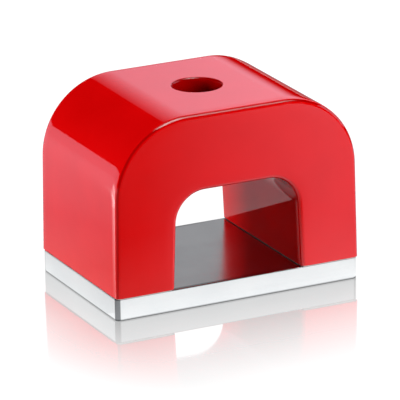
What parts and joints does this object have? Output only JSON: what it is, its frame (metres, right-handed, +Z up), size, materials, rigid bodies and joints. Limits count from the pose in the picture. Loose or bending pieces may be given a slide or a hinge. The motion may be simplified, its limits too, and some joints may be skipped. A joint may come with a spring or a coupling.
{
  "type": "horseshoe magnet",
  "caption": "Red enamelled cast Alnico horseshoe lifting magnet with a plain bore through the crown, standing on its flat plated steel keeper bar.",
  "frame": {"origin": "centre of the keeper's underside, on the surface that the magnet stands on", "axes": "+X across the two poles (the longest side), +Y along the poles towards the back, +Z up from the keeper to the crown"},
  "size_m": [0.045, 0.03, 0.0335],
  "materials": {
    "alnico": "cast Alnico, ground bright and bare on the two pole faces",
    "red_enamel": "smooth high-gloss stoved red enamel",
    "keeper_steel": "bright plated mild steel, satin on the working face"
  },
  "bodies": {
    "keeper": {"keeper_plate": "keeper_steel"},
    "magnet": {"magnet_casting": "alnico", "enamel_coat": "red_enamel"}
  },
  "joints": [
    {"name": "keeper_release", "type": "slide", "parent": "keeper", "child": "magnet", "axis": [0, 0, 1], "range_m": [0, 0.04]}
  ]
}
